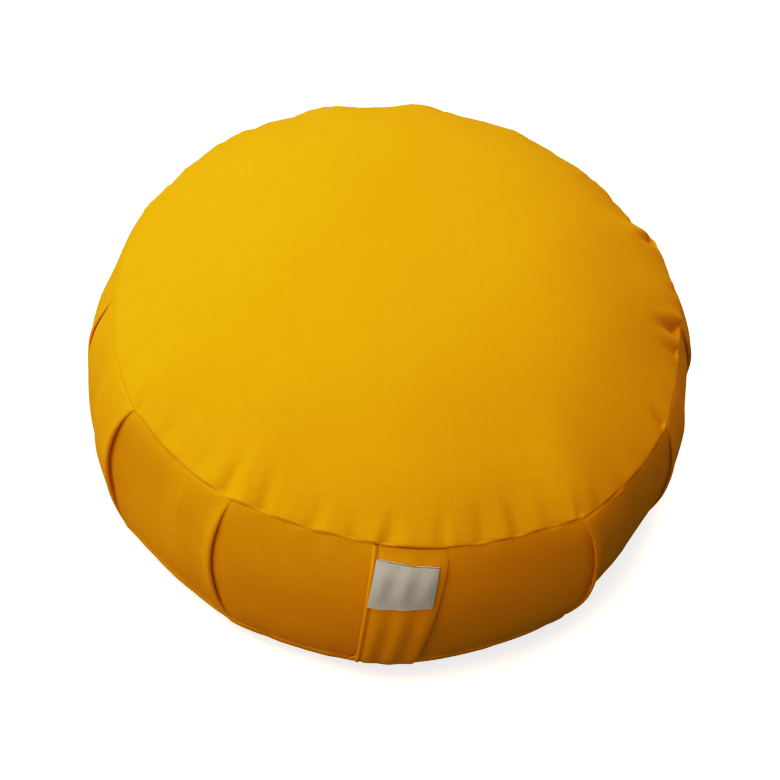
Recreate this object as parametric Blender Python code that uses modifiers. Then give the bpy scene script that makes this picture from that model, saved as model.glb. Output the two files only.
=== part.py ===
"""Zafu meditation cushion: a round filled cushion with a domed top, a pleated side band,
a flat carry strap down the front and a woven label on the strap.

Lengths are metres. +Z is up, the flat base lies on Z = 0 and the origin is its centre.
Bearings are degrees round Z: 0 is the strap, which faces -Y, and +90 is +X.
"""
import math
from collections import namedtuple

import bmesh
import bpy
from mathutils import Vector

MM = 0.001

WIDEST_RADIUS = 169.4 * MM
CROWN_HEIGHT = 173 * MM
TOP_SEAM_RADIUS = 157.5 * MM
TOP_SEAM_HEIGHT = 116 * MM
BOTTOM_SEAM_RADIUS = 165.5 * MM
BOTTOM_SEAM_HEIGHT = 19 * MM
BASE_RADIUS = 141 * MM
CROWN_POWER = 2.8
UNDERSIDE_POWER = 2.2
NORMAL_STEP = 0.02

# The filling has settled a little to one side, so the crown leans that way.
SETTLE_SLOPE = 0.030
SETTLE_BEARING = 82.0

SEAM_DRAW_IN = 1.2 * MM
SEAM_GROOVE = 4 * MM

# Each pleat is a fold in the band, from seam to seam, whose upper layer lies away from the strap.
FOLD_WIDTH = 27 * MM
FOLD_END = 4 * MM
FOLD_THINNING = 0.6
CREVICE_DEPTH = 1.3 * MM
CREVICE_REACH = 7 * MM
FOLD_AT_SEAMS = 0.35
FOLDS_RUN_OUT = 0.05
SWELL_POWER = 0.7
CORNER_RISE = 3.2 * MM
CORNER_DROP = 1.1 * MM
CORNER_ON_PANELS = 0.45
CORNER_REACH = 0.3
CORNERS_SOFTEN = 0.1
PULL_SPREAD = 6 * MM
PULL_PLACE = 0.12
PULL_REACH = 0.16

STRAP_TOP_WIDTH = 39 * MM
STRAP_BOTTOM_WIDTH = 33 * MM
STRAP_THICKNESS = 2.4 * MM
STRAP_CLEARS_SEAM = 0.01
STRAP_RIPPLE = 0.7 * MM
STRAP_RIPPLE_PITCH = 12 * MM
RIPPLES_START = 0.35
RIPPLES_RISE = 0.5

# The label's edges are shares of the band's height, from the bottom seam up.
LABEL_WIDTH = 31.5 * MM
LABEL_SHIFT = -1 * MM
LABEL_BOTTOM = 0.635
LABEL_TOP = 0.918
LABEL_THICKNESS = 1 * MM

GAP = 0.3 * MM

CROWN_ROWS = 10
ROW_BESIDE_SEAM = 0.04
BAND_ROWS = 11
UNDERSIDE_ROWS = 4
BASE_ROWS = 2
WIDEST_COLUMN = 4.5
STRAP_CELLS = (14, 22)
LABEL_CELLS = (10, 8)

# Lines down the band: bearing on the top seam, lean by the bottom seam and bow at half height, in degrees;
# how strongly the outline has a corner there; fullness of the panel after it, step of the fold and
# pull on the top panel's edge, in metres.
Line = namedtuple("Line", "bearing lean bow corner fullness step pull")
PLEATS = (
    Line(-164.0, 1.0, -1.0, 2.0, -1.5 * MM, 1.9 * MM, 0.7 * MM),
    Line(-141.0, 1.5, -1.5, 0.0, -2.8 * MM, 1.8 * MM, 0.9 * MM),
    Line(-116.0, 2.0, -2.0, 0.3, 0.2 * MM, 1.9 * MM, 0.8 * MM),
    Line(-89.0, 3.0, -2.0, 0.3, 2.2 * MM, 1.7 * MM, 0.6 * MM),
    Line(-61.0, 1.4, -3.2, 1.6, -2.7 * MM, 2.2 * MM, 0.6 * MM),
    Line(-34.2, 3.8, -2.6, 0.6, 0.3 * MM, 2.4 * MM, 0.8 * MM),
    Line(32.7, 3.2, 2.2, 2.5, -2.6 * MM, 2.4 * MM, 0.9 * MM),
    Line(61.0, 4.0, 1.3, 0.0, 0.0, 1.7 * MM, 1.2 * MM),
    Line(87.0, 2.0, 2.0, 1.1, 5.0 * MM, 1.8 * MM, 1.4 * MM),
    Line(111.0, 1.5, 2.0, 3.3, -3.2 * MM, 2.0 * MM, 1.8 * MM),
    Line(131.0, 1.0, 1.5, 0.0, -2.0 * MM, 1.9 * MM, 1.2 * MM),
    Line(150.0, 1.0, 1.0, 0.8, -0.6 * MM, 1.8 * MM, 0.9 * MM),
    Line(175.0, 1.0, 0.5, 2.1, -2.0 * MM, 1.8 * MM, 0.8 * MM),
)
STRAP_LINE = Line(0.0, -1.0, 0.0, 0.8, 1.3 * MM, 0.0, 0.0)

# Columns of the cushion's mesh beside each fold edge, positive away from the strap.
FOLD_COLUMNS = (-9 * MM, -3.5 * MM, -1.1 * MM, 1.1 * MM, 3.5 * MM, 11 * MM, 26 * MM, 31 * MM)

CANVAS_COLOUR = (0.76, 0.42, 0.012, 1.0)
LABEL_COLOUR = (0.55, 0.52, 0.45, 1.0)

# The section runs from the crown's middle down the outside to the base's middle.
CROWN, TOP_SEAM, BOTTOM_SEAM, BASE_EDGE, BASE_CENTRE = range(5)


def turn_between(bearing, other):
    """Shortest turn from one bearing to another, in degrees."""
    return (bearing - other + 180.0) % 360.0 - 180.0


def smooth(value):
    """Ease from 0 to 1 without corners."""
    value = min(max(value, 0.0), 1.0)
    return value * value * (3.0 - 2.0 * value)


def section(along):
    """Radius and height of the plain turned form at a place along the section."""
    if along <= TOP_SEAM:
        rise = 1.0 - along ** CROWN_POWER
        return TOP_SEAM_RADIUS * along, TOP_SEAM_HEIGHT + (CROWN_HEIGHT - TOP_SEAM_HEIGHT) * rise
    if along <= BOTTOM_SEAM:
        down = along - TOP_SEAM
        straight = TOP_SEAM_RADIUS + (BOTTOM_SEAM_RADIUS - TOP_SEAM_RADIUS) * down
        bulge = WIDEST_RADIUS - (TOP_SEAM_RADIUS + BOTTOM_SEAM_RADIUS) / 2
        height = TOP_SEAM_HEIGHT + (BOTTOM_SEAM_HEIGHT - TOP_SEAM_HEIGHT) * down
        return straight + 4 * bulge * down * (1 - down), height
    if along <= BASE_EDGE:
        turn = (along - BOTTOM_SEAM) * math.pi / 2
        inward = 1.0 - max(math.cos(turn), 0.0) ** (2.0 / UNDERSIDE_POWER)
        fall = math.sin(turn) ** (2.0 / UNDERSIDE_POWER)
        radius = BOTTOM_SEAM_RADIUS + (BASE_RADIUS - BOTTOM_SEAM_RADIUS) * inward
        return radius, BOTTOM_SEAM_HEIGHT * (1.0 - fall)
    return BASE_RADIUS * (BASE_CENTRE - along), 0.0


def section_normal(along):
    """Outward direction of the section, as parts along the radius and the height."""
    low = min(max(along - NORMAL_STEP, CROWN), BASE_EDGE - 2 * NORMAL_STEP)
    radius_a, height_a = section(low)
    radius_b, height_b = section(low + 2 * NORMAL_STEP)
    length = math.hypot(radius_b - radius_a, height_b - height_a)
    return (height_a - height_b) / length, (radius_b - radius_a) / length


def band_share(along):
    """How far a place is down the band, 0 at the top seam and above, 1 at the bottom seam and below."""
    return min(max(along - TOP_SEAM, 0.0), 1.0)


def neighbours(bearing):
    """The lines (folds and the strap's middle) beside a bearing, and the share of the way between them."""
    lines = sorted(PLEATS + (STRAP_LINE,))
    lines.append(lines[0]._replace(bearing=lines[0].bearing + 360.0))
    if bearing < lines[0].bearing:
        bearing += 360.0
    for before, after in zip(lines, lines[1:]):
        if before.bearing <= bearing <= after.bearing:
            return before, after, (bearing - before.bearing) / (after.bearing - before.bearing)
    raise ValueError("no lines beside bearing %s" % bearing)


def turned_bearing(bearing, down):
    """Where a line that leaves the top seam at a bearing has got to, some way down the band."""
    before, after, share = neighbours(bearing)
    lean = before.lean + (after.lean - before.lean) * smooth(share)
    bow = before.bow + (after.bow - before.bow) * smooth(share)
    return bearing + lean * down + bow * 4.0 * down * (1.0 - down)


def away_from_strap(bearing, pleat):
    """Distance round the band from a fold's edge, positive away from the strap."""
    side = 1.0 if pleat.bearing > STRAP_LINE.bearing else -1.0
    return side * WIDEST_RADIUS * math.radians(turn_between(bearing, pleat.bearing))


def fold_relief(bearing):
    """Raised upper layers and sunk crevices of the pleats."""
    relief = 0.0
    for pleat in PLEATS:
        away = away_from_strap(bearing, pleat)
        if -CREVICE_REACH < away <= 0.0:
            relief -= CREVICE_DEPTH * (1.0 + away / CREVICE_REACH) ** 2
        elif 0.0 < away < FOLD_WIDTH + FOLD_END:
            layer = pleat.step * (1.0 - FOLD_THINNING * min(away / FOLD_WIDTH, 1.0))
            relief += layer * (1.0 - smooth((away - FOLD_WIDTH) / FOLD_END))
    return relief


def corner_relief(bearing, softness=0.0):
    """The band is drawn flatter between the folds, so the outline has corners at them."""
    before, after, share = neighbours(bearing)
    nearest = before if share < 0.5 else after
    drop = before.corner + (after.corner - before.corner) * smooth(share)
    fullness = before.fullness * (1.0 - (2.0 * share - 1.0) ** 4)
    sharp = (2.0 * share - 1.0) ** 2
    soft = (0.5 + 0.5 * math.cos(math.tau * share)) ** 1.5
    rise = CORNER_RISE * nearest.corner * (sharp + (soft - sharp) * softness)
    return rise - CORNER_DROP * drop + fullness


def pull_relief(bearing):
    """Dents that the folds pull into the edge of the top panel."""
    return -sum(p.pull * math.exp(-(away_from_strap(bearing, p) / PULL_SPREAD) ** 2) for p in PLEATS)


def seam_relief(along):
    """Grooves where the panels are drawn in to the seams."""
    spread = SEAM_GROOVE / (TOP_SEAM_HEIGHT - BOTTOM_SEAM_HEIGHT)
    nearest = min(abs(along - TOP_SEAM), abs(along - BOTTOM_SEAM))
    return -SEAM_DRAW_IN * math.exp(-(nearest / spread) ** 2)


def relief(bearing, along):
    """Everything that stands off the plain turned form, measured along its normal."""
    if along <= TOP_SEAM:
        edge = smooth(1.0 - (TOP_SEAM - along) / CORNER_REACH)
        pull = smooth(1.0 - abs(TOP_SEAM - along - PULL_PLACE) / PULL_REACH)
        folds = FOLD_AT_SEAMS * smooth(1.0 - (TOP_SEAM - along) / FOLDS_RUN_OUT)
        corners = CORNER_ON_PANELS * edge
        softness = smooth((TOP_SEAM - along) / CORNERS_SOFTEN)
        return (corners * corner_relief(bearing, softness) + folds * fold_relief(bearing)
                + pull * pull_relief(bearing) + seam_relief(along))
    if along <= BOTTOM_SEAM:
        swell = math.sin(math.pi * band_share(along)) ** SWELL_POWER
        folds = FOLD_AT_SEAMS + (1.0 - FOLD_AT_SEAMS) * swell
        corners = CORNER_ON_PANELS + (1.0 - CORNER_ON_PANELS) * swell
        return corners * corner_relief(bearing) + folds * fold_relief(bearing) + seam_relief(along)
    fade = smooth(1.0 - (along - BOTTOM_SEAM) / (BASE_EDGE - BOTTOM_SEAM))
    return fade * (CORNER_ON_PANELS * corner_relief(bearing) + FOLD_AT_SEAMS * fold_relief(bearing)
                   + seam_relief(along))


def skin(bearing, along, lift=0.0):
    """Point of the cushion's surface, or as far outside it as lift says."""
    radius, height = section(along)
    out, up = section_normal(along)
    offset = lift + relief(bearing, along)
    if along <= TOP_SEAM and radius < offset:
        offset = 0.0
    radius += offset * out
    height = max(height + offset * up, 0.0)
    if along >= BASE_EDGE:
        height = 0.0
    turned = math.radians(turned_bearing(bearing, band_share(along)))
    settle = SETTLE_SLOPE * height
    x = radius * math.sin(turned) + settle * math.sin(math.radians(SETTLE_BEARING))
    y = -radius * math.cos(turned) - settle * math.cos(math.radians(SETTLE_BEARING))
    return Vector((x, y, height))


def column_bearings():
    """Bearings of the mesh's columns: close beside each fold and even between them."""
    bearings = [STRAP_LINE.bearing]
    for pleat in PLEATS:
        side = 1.0 if pleat.bearing > STRAP_LINE.bearing else -1.0
        for offset in FOLD_COLUMNS:
            turn = side * math.degrees(offset / WIDEST_RADIUS)
            bearings.append((pleat.bearing + turn + 180.0) % 360.0 - 180.0)
    bearings.sort()
    columns = []
    for start, end in zip(bearings, bearings[1:] + [bearings[0] + 360.0]):
        pieces = max(1, math.ceil((end - start) / WIDEST_COLUMN))
        columns += [start + (end - start) * piece / pieces for piece in range(pieces)]
    return [(bearing + 180.0) % 360.0 - 180.0 for bearing in columns]


def row_places():
    """Places along the section of the mesh's rows, without the two poles."""
    rows = [row / CROWN_ROWS for row in range(1, CROWN_ROWS)]
    rows += [TOP_SEAM - ROW_BESIDE_SEAM, TOP_SEAM]
    rows += [TOP_SEAM + smooth(row / BAND_ROWS) for row in range(1, BAND_ROWS)]
    rows += [BOTTOM_SEAM + row / UNDERSIDE_ROWS for row in range(UNDERSIDE_ROWS + 1)]
    rows += [BASE_EDGE + row / (BASE_ROWS + 1) for row in range(1, BASE_ROWS + 1)]
    return rows


def make_object(name, mesh, material, collection):
    item = bpy.data.objects.new(name, mesh)
    mesh.materials.append(material)
    collection.objects.link(item)
    return item


def make_material(name, colour, roughness):
    material = bpy.data.materials.new(name)
    material.use_nodes = True
    shader = material.node_tree.nodes["Principled BSDF"]
    shader.inputs["Base Color"].default_value = colour
    shader.inputs["Roughness"].default_value = roughness
    shader.inputs["Metallic"].default_value = 0.0
    return material


def build_cushion(material, collection):
    """One filled solid: a sphere's rings moved onto the cushion's section."""
    columns = column_bearings()
    rows = row_places()
    bm = bmesh.new()
    bmesh.ops.create_uvsphere(bm, u_segments=len(columns), v_segments=len(rows) + 1, radius=1.0)
    for vertex in bm.verts:
        x, y, z = vertex.co
        row = round(math.acos(max(-1.0, min(1.0, z))) / math.pi * (len(rows) + 1))
        if row == 0:
            vertex.co = skin(0.0, CROWN)
        elif row > len(rows):
            vertex.co = skin(0.0, BASE_CENTRE)
        else:
            column = round(math.atan2(y, x) / math.tau * len(columns)) % len(columns)
            vertex.co = skin(columns[column], rows[row - 1])
    mesh = bpy.data.meshes.new("cushion")
    bm.to_mesh(mesh)
    bm.free()
    mesh.shade_smooth()
    return make_object("cushion", mesh, material, collection)


def strip(name, cells, place, thickness, material, collection):
    """A strip of cloth: a grid laid by place(side, down), with side -1 to 1 and down 0 to 1,
    then thickened outwards."""
    bm = bmesh.new()
    bmesh.ops.create_grid(bm, x_segments=cells[0], y_segments=cells[1], size=1.0)
    for vertex in bm.verts:
        vertex.co = place(vertex.co.x, (1.0 - vertex.co.y) / 2)
    mesh = bpy.data.meshes.new(name)
    bm.to_mesh(mesh)
    bm.free()
    mesh.shade_smooth()
    item = make_object(name, mesh, material, collection)
    solid = item.modifiers.new("thickness", "SOLIDIFY")
    solid.thickness = thickness
    solid.offset = 1.0
    solid.use_even_offset = True
    return item


def strap_ripple(across, down):
    """Soft ripples down the lower part of the strap."""
    wave = 0.5 - 0.5 * math.cos(math.tau * across / STRAP_RIPPLE_PITCH)
    return STRAP_RIPPLE * wave * smooth((down - RIPPLES_START) / RIPPLES_RISE)


def build_strap(material, collection):
    """Flat strap from the top seam down the band to the bottom seam."""
    def place(side, down):
        width = STRAP_TOP_WIDTH + (STRAP_BOTTOM_WIDTH - STRAP_TOP_WIDTH) * down
        across = side * width / 2
        along = TOP_SEAM + STRAP_CLEARS_SEAM + (1.0 - 2 * STRAP_CLEARS_SEAM) * down
        bearing = STRAP_LINE.bearing + math.degrees(across / section(along)[0])
        return skin(bearing, along, GAP + strap_ripple(across, down))
    return strip("carry_strap", STRAP_CELLS, place, STRAP_THICKNESS, material, collection)


def build_label(material, collection):
    """Woven label sewn on the upper part of the strap."""
    def place(side, down):
        share = (1.0 - LABEL_TOP) + (LABEL_TOP - LABEL_BOTTOM) * down
        across = LABEL_SHIFT + side * LABEL_WIDTH / 2
        bearing = STRAP_LINE.bearing + math.degrees(across / section(TOP_SEAM + share)[0])
        lift = GAP + STRAP_THICKNESS + GAP + strap_ripple(across, share)
        return skin(bearing, TOP_SEAM + share, lift)
    return strip("strap_label", LABEL_CELLS, place, LABEL_THICKNESS, material, collection)


def main():
    for item in list(bpy.data.objects):
        bpy.data.objects.remove(item, do_unlink=True)
    collection = bpy.data.collections.new("zafu_cushion")
    bpy.context.scene.collection.children.link(collection)
    canvas = make_material("canvas", CANVAS_COLOUR, 0.9)
    label_cloth = make_material("label_cloth", LABEL_COLOUR, 0.8)
    build_cushion(canvas, collection)
    build_strap(canvas, collection)
    build_label(label_cloth, collection)


main()
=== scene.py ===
"""Dresses the zafu meditation cushion: the sewn canvas cover with its pleated band,
the folded carry strap, the woven label and a plain studio."""

import math
from functools import partial

import bpy
import numpy as np
from bpy.props import FloatProperty, FloatVectorProperty, PointerProperty
from mathutils import Matrix, Vector


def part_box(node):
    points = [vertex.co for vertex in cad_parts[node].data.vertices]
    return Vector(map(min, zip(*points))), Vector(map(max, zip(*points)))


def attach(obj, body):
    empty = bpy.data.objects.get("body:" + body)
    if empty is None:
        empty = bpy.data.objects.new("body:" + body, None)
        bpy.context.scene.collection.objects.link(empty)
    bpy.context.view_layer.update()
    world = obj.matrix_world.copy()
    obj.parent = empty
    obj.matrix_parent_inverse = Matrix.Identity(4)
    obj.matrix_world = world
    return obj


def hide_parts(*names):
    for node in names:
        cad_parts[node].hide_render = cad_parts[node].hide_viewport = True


bl_info = {
    "name": "Zafu Cushion",
    "version": (1, 0, 0),
    "blender": (4, 5, 0),
    "location": "View3D > Sidebar > Zafu",
    "description": "Builds a round meditation cushion with a pleated band, a carry strap and a label",
    "category": "Add Mesh",
}

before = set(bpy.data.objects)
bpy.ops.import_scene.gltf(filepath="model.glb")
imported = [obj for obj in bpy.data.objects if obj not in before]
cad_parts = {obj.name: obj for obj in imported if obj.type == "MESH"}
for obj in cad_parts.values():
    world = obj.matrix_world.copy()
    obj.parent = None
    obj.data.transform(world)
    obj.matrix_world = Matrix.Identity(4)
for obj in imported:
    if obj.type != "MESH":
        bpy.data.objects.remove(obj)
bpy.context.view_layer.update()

MM = 0.001
CUSHION_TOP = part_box("cushion")[1][2]

# The section runs from the crown's middle down the outside to the base's middle.
CROWN, TOP_SEAM, BOTTOM_SEAM, BASE_EDGE, BASE_CENTRE = range(5)

# One row for each pleat: its bearing on the top seam, its lean by the bottom seam and its bow
# at half height, in degrees from the strap; the step of its fold and the pull of its end on
# the top panel, in millimetres; how much of a corner it makes in the outline; and how much
# fuller than the rest the panel after it is, in millimetres.
PLEATS = (
    (-164, 1, -1, 1.7, 0.7, 2, -1.5),
    (-141, 1.5, -1.5, 1.5, 0.9, 0, -2.8),
    (-116, 2, -2, 1.7, 0.8, 0.3, 0.2),
    (-89, 3, -2, 1.5, 0.6, 0.3, 2.2),
    (-61, 1.4, -3.2, 2.1, 0.6, 1.6, -2.7),
    (-34.2, 3.8, -2.6, 2.3, 0.8, 0.6, 0.3),
    (32.7, 3.2, 2.2, 2.4, 0.9, 2.5, -2.6),
    (61, 4, 1.3, 1.5, 1.2, 0, 0),
    (87, 2, 2, 1.6, 0.5, 1.1, 5),
    (111, 1.5, 2, 1.9, 1.4, 3.3, -3.2),
    (131, 1, 1.5, 1.8, 1.2, 0, -2),
    (150, 1, 1, 1.7, 0.9, 0.8, -0.6),
    (175, 1, 0.5, 1.7, 0.8, 2.1, -2),
)
STRAP_LINE = (0, -1, 0, 0.8, 1.3)

# Deeper creases in the edge of the top panel: bearing, slant in millimetres for each
# millimetre inwards, length, depth and half width in millimetres.
CREASES = (
    (86, -0.4, 34, 4.4, 4),
    (80.3, -0.35, 24, 3.2, 3.2),
    (110, -0.3, 34, 3.6, 4.2),
    (96, -0.2, 16, 1.2, 3),
    (-93, 0.1, 14, 0.7, 3),
)

# How far the top seam stands out from its circle, in millimetres, at bearings round it.
SEAM_WANDER = (
    (-180, 0), (-120, 0), (-104, -1), (-88, -2.2), (-72, 1.2), (-57, 3.3),
    (-42, 3), (-30, 0), (-15, -1.8), (0, -1.2), (15, -0.4), (26, 0.6),
    (36, 3.6), (47, 2.8), (58, 0.6), (70, -2.8), (87, -3.4), (98, -3),
    (111, -2.4), (128, -0.5), (180, 0),
)

# The path of the cloth through a fold, in millimetres: its place when pressed flat, its place
# round the band when folded, positive away from the strap, and its height.
FOLD_PATH = (
    (-9, -9, 0), (-6.5, -6.5, -0.03), (-4.5, -4.5, -0.1), (-3, -2.9, -0.3),
    (-2.1, -1.5, -0.55), (-1.4, 0, -0.7), (-1, 0.8, -0.55), (-0.6, 0.6, -0.3),
    (-0.3, 0.1, -0.1), (0, -0.35, 0.15), (0.3, -0.6, 0.75), (0.7, -0.25, 1.5),
    (1.3, 0.6, 2.05), (2.2, 2, 2.15), (3.6, 3.6, 1.8), (6, 6, 1.4),
    (10, 10, 1.35), (16, 16, 1.6), (22, 22, 1.85), (26, 26, 2),
    (27.2, 27.2, 1.85), (29, 29, 1.6), (34, 34, 1), (40, 40, 0.35),
    (46, 46, 0),
)
FOLD_PATH_STEP = 2.2

# Folds open by a first share close to the seams and by the rest over a longer reach, and the
# last fold on each side runs out before it meets the other.
FOLD_LIP_SHARE = 0.25
FOLD_LIP_REACH = 2.5 * MM
FOLD_OPEN_REACH = 30 * MM
FOLD_RUNS_OUT = 16 * MM

# Gathers beside a seam: seed, pitch in millimetres, share of the full depth, and longest reach
# in millimetres.
CROWN_GATHERS = (11, 11, 1.0, 34)
BAND_TOP_GATHERS = (23, 12, 0.3, 26)
BAND_FOOT_GATHERS = (37, 12, 0.3, 26)
GATHERS_START = 1.5 * MM
FRONT_BEARING, FRONT_HALF_TURN, CALM_SHARE = 3.0, 42.0, 0.5

# The dent that a fold's end pulls into the top panel.
PULL_HALF_WIDTH = 4.5 * MM
PULL_START = 3 * MM
PULL_REACH, PULL_REACH_GROWTH = 14, 9
CREASE_START = 2.5 * MM
CREASE_BANK, CREASE_BANK_PLACE = 0.35, 2.0

# The outline's corners: the share that is left at the seams, how fully they show between, how
# far they reach over the top panel and how soon they soften there.
CORNERS_AT_SEAMS = 0.45
SWELL_POWER = 0.7
CORNERS_REACH_CROWN = 0.3
CORNERS_SOFTEN = 14 * MM
LOW_SEAM_SHARE = 0.35
WANDER_REACH = 0.45
POLE_CALM = 0.08

LUMP_SEED, LUMP_WAVES, LUMP_SHORTEST, LUMP_LONGEST = 5, 10, 45, 120

# Rows of the cover's mesh.
SEAM_ROW_STEPS = (0.35, 0.75, 1.25, 1.9, 2.8, 4.1, 6.0)
FIRST_ROW = 0.03
CROWN_ROWS, BAND_ROWS, UNDER_ROWS, BASE_ROWS = 46, 38, 9, 7

# The strap and the label, as shares of the way down the band or in millimetres.
STRAP_ROWS, STRAP_COLUMNS, STRAP_END = 110, 128, 1.03
STRAP_TUCKED_BY, STRAP_STANDS_FROM, STRAP_FLARES_FROM, STRAP_FLARE_RUN = 0.22, 0.72, 0.9, 0.11
RIPPLE_SLANT, RIPPLE_PHASE, FIRST_RIPPLES = 0.12, 0.375, 0.3
GROOVE_WIDTH, GROOVE_DEPTH = 0.8, 0.5
EDGE_ROLL_PLACE, EDGE_ROLL_HEIGHT = 1.3, 0.8
EDGE_SQUARENESS, EDGE_ROUNDING = 7, 0.25
STRAP_STITCH_LENGTH, STRAP_STITCH_RADIUS, STRAP_STITCH_SINK = 0.78, 0.3, 0.32
LABEL_ROWS, LABEL_COLUMNS = 60, 96
LABEL_WAVE_HEIGHT, LABEL_WAVE_PITCH, LABEL_WAVE_PHASE = 0.35, 1.8, 1.8
LABEL_STITCH_INSET, LABEL_STITCH_PITCH, LABEL_STITCH_DOWN = 1.3, 2.2, 0.013
LABEL_STITCH_LENGTH, LABEL_STITCH_RADIUS, LABEL_STITCH_RISE = 0.7, 0.17, 0.05

# The band's weave is laid out flat at this radius, in metres.
UNROLLED_RADIUS = 0.167

# The floor's half size and drop in metres, how it glows to the camera, and the colour that it
# throws back; then the shades that the camera takes in and those that it shows.
FLOOR_HALF, FLOOR_DROP, FLOOR_GLOW = 8.0, 0.0004, 0.62
FLOOR_BOUNCE = (0.22, 0.22, 0.22, 1.0)
WHITE = (1.0, 1.0, 1.0, 1.0)
TONE_CURVE = ((0.13, 0.06), (0.20, 0.125), (0.27, 0.215), (0.36, 0.355), (0.48, 0.50),
              (0.60, 0.635), (0.80, 0.795), (0.95, 0.875))


def number_setting(name, description, default, **more):
    """A number that the panel shows."""
    return FloatProperty(name=name, description=description, default=default, **more)


def mm_setting(name, description, default):
    """A length that the panel shows, from its value in millimetres."""
    return number_setting(name, description, default * MM, unit="LENGTH")


def colour_setting(name, description, default):
    """A colour that the panel shows."""
    return FloatVectorProperty(name=name, description=description, default=default, subtype="COLOR",
                               size=4, min=0.0, max=1.0)


class ZafuCushionSize(bpy.types.PropertyGroup):
    """Sizes of the filled cushion."""
    widest_radius: mm_setting("Widest radius", "Radius at the band's fullest", 168.8)
    crown_height: mm_setting("Crown height", "Height of the crown's middle", CUSHION_TOP / MM)
    crown_power: number_setting("Crown roundness", "Higher is flatter on top", 2.8)
    top_seam_radius: mm_setting("Top seam radius", "Radius of the top seam", 158.0)
    top_seam_height: mm_setting("Top seam height", "Height of the top seam", 116)
    bottom_seam_radius: mm_setting("Bottom seam radius", "Radius of the bottom seam", 165.5)
    bottom_seam_height: mm_setting("Bottom seam height", "Height of the bottom seam", 19)
    base_radius: mm_setting("Base radius", "Radius of the flat underside", 141)
    underside_power: number_setting("Underside roundness", "Higher is squarer", 2.2)
    settle_slope: number_setting("Settle", "How far the crown leans, for each metre up", 0.030)
    settle_bearing: number_setting("Settle bearing", "Which way the crown leans, in degrees", 82.0)
    corner_rise: mm_setting("Corner rise", "How far the outline's corners stand out", 3.2)
    corner_drop: mm_setting("Corner drop", "How far the band is flattened between folds", 1.1)
    seam_depth: mm_setting("Seam depth", "How deep the panels are drawn in at a seam", 1.1)
    seam_roll: mm_setting("Seam roll", "How far from the seam the cloth rolls in", 0.8)
    seam_recovery: mm_setting("Seam recovery", "How far down the band is out again", 6.0)
    pucker_depth: mm_setting("Pucker depth", "Depth of the gathers beside the seams", 2.2)
    lump_depth: mm_setting("Lump depth", "Unevenness of the filling", 0.25)
    fullness: number_setting("Fullness", "How tightly the cover is filled", 0.9)
    column_pitch: mm_setting("Column pitch", "Widest step between the mesh's columns", 3.0)


class ZafuStrapSize(bpy.types.PropertyGroup):
    """Sizes of the carry strap."""
    top_width: mm_setting("Top width", "Width at the top seam", 39)
    bottom_width: mm_setting("Bottom width", "Width where it is gathered at the bottom seam",
                             31.2)
    thickness: mm_setting("Thickness", "Thickness of the folded canvas", 1.8)
    gap: mm_setting("Gap", "Clearance over the band", 0.3)
    ripple: mm_setting("Ripple", "Height of the soft ripples low on the strap", 0.9)
    ripple_pitch: mm_setting("Ripple pitch", "Distance between the ripples", 12)
    flare: mm_setting("Flare", "How much wider the low end is pressed", 4.2)
    tuck: mm_setting("Tuck", "How deep the top end sinks into the seam", 2.3)
    stand: mm_setting("Stand", "How far the low end stands off the band", 0.9)
    stitch_inset: mm_setting("Stitch inset", "Distance of the stitching from the edge", 3)
    stitch_pitch: mm_setting("Stitch pitch", "Length of one stitch and its hole", 3.1)


class ZafuLabelSize(bpy.types.PropertyGroup):
    """Sizes of the woven label."""
    width: mm_setting("Width", "Width of the label", 31.5)
    shift: mm_setting("Shift", "Its place across the strap", -1)
    skew: mm_setting("Skew", "How far its corners are off square", 1.2)
    top: number_setting("Top", "Height of its top edge, as a share of the band", 0.918)
    bottom: number_setting("Bottom", "Height of its bottom edge, as a share of the band", 0.635)
    thickness: mm_setting("Thickness", "Thickness of the tape", 1)
    gap: mm_setting("Gap", "Clearance over the strap", 0.3)


class ZafuClothLooks(bpy.types.PropertyGroup):
    """Colours and weave of the cloths."""
    canvas: colour_setting("Canvas", "Colour of the canvas", (0.80, 0.40, 0.004, 1.0))
    # Each deep colour is painted shade in the gaps between the threads, and also the cloth's own uneven tone
    # of threads, streaks and clouds.
    canvas_shade_and_mottle: colour_setting("Canvas, deep", "Colour between the canvas threads",
                                (0.66, 0.29, 0.002, 1.0))
    canvas_pitch: mm_setting("Canvas thread pitch", "Distance between canvas threads", 0.5)
    tape: colour_setting("Label tape", "Colour of the label", (0.605, 0.555, 0.475, 1.0))
    tape_shade_and_mottle: colour_setting("Label tape, deep", "Colour between the label's threads",
                              (0.45, 0.41, 0.347, 1.0))
    tape_pitch: mm_setting("Tape thread pitch", "Distance between the label's threads", 0.32)


class ZafuStudio(bpy.types.PropertyGroup):
    """Camera, floor and light."""
    distance: mm_setting("Camera distance", "Distance from the base's middle", 1020)
    azimuth: number_setting("Camera azimuth", "Bearing of the camera, in degrees", -8.2)
    elevation: number_setting("Camera elevation", "Height of the camera, in degrees", 53.5)
    roll: number_setting("Camera roll", "Turn about the view, in degrees", 8.75)
    focal: number_setting("Focal length", "In millimetres on a 36 mm sensor", 78.1)
    base_x: number_setting("Base X", "Where the base's middle shows, in picture widths from the left",
                           377.5 / 780)
    base_y: number_setting("Base Y", "Where the base's middle shows, in picture heights from the top",
                           428.5 / 780)
    floor: colour_setting("Floor", "Colour of the floor", (0.82, 0.81, 0.80, 1.0))
    light_heading: FloatVectorProperty(name="Light from", description="Side that the soft light comes from",
                                       subtype="DIRECTION", default=(-0.66, 0.27, 0.70))
    ambient: number_setting("Ambient", "Strength of the light from all round", 0.495)
    gradient: number_setting("Gradient", "How much stronger it is on its bright side", 1.215)


def smooth(value):
    """Ease from 0 to 1 without corners."""
    value = np.clip(value, 0.0, 1.0)
    return value * value * (3.0 - 2.0 * value)


def turn_between(bearing, other):
    """Shortest turn from one bearing to another, in degrees."""
    return (bearing - other + 180.0) % 360.0 - 180.0


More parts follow.
